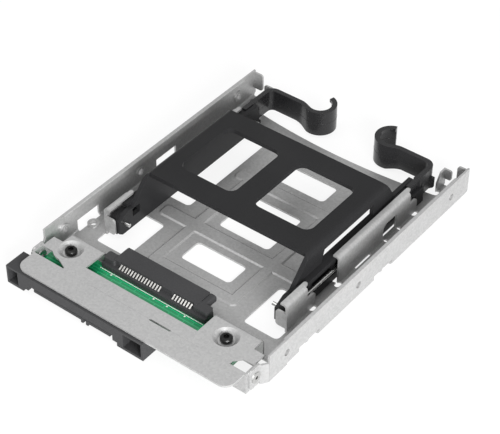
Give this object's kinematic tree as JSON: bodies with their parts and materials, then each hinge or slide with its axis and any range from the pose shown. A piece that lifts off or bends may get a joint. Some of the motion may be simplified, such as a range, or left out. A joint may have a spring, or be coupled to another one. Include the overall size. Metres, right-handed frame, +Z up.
{
  "type": "drive mounting bracket",
  "caption": "Steel tray with a sliding plastic carrier and squeeze levers that mounts a small drive in a larger drive bay, with an adapter board, drive socket and blind-mate plug.",
  "frame": {"origin": "middle of the four bottom screw holes, on the tray's underside", "axes": "+X across the tray, +Y from the plug towards the levers, +Z up from the tray's underside"},
  "size_m": [0.102, 0.1469, 0.02],
  "materials": {
    "steel": "galvanised sheet, satin",
    "steel_eyelet": "satin",
    "board": "green solder resist",
    "black_screw": "black oxide",
    "nut_steel": "zinc plated",
    "socket_plastic": "matte black",
    "plug_plastic": "satin black",
    "contact": "gold flashed",
    "tin": "tinned",
    "carrier_plastic": "satin black",
    "wire": "drawn spring wire",
    "lever_plastic": "semi gloss black"
  },
  "bodies": {
    "tray": {"tray": "steel", "corner_eyelets": "steel_eyelet", "adapter_board": "board", "board_screws": "black_screw", "board_nuts": "nut_steel", "drive_socket": "socket_plastic", "socket_power_contacts": "contact", "socket_signal_contacts": "contact", "socket_clips": "tin", "bay_plug": "plug_plastic", "plug_power_contacts": "contact", "plug_signal_contacts": "contact"},
    "carrier": {"carrier": "carrier_plastic", "wire_clip_left": "wire", "wire_clip_right": "wire"},
    "lever_left": {"lever_left": "lever_plastic"},
    "lever_right": {"lever_right": "lever_plastic"}
  },
  "joints": [
    {"name": "carrier_slide", "type": "slide", "parent": "tray", "child": "carrier", "axis": [0, 1, 0], "range_m": [0, 0.016]},
    {"name": "lever_left_squeeze", "type": "hinge", "parent": "carrier", "child": "lever_left", "pos_m": [-0.0383, 0.06189, 0.006], "axis": [0, 0, -1], "range_deg": [0, 10], "stiffness_Nm_per_rad": 0.8},
    {"name": "lever_right_squeeze", "type": "hinge", "parent": "carrier", "child": "lever_right", "pos_m": [0.0383, 0.06189, 0.006], "axis": [0, 0, 1], "range_deg": [0, 10], "stiffness_Nm_per_rad": 0.8}
  ]
}
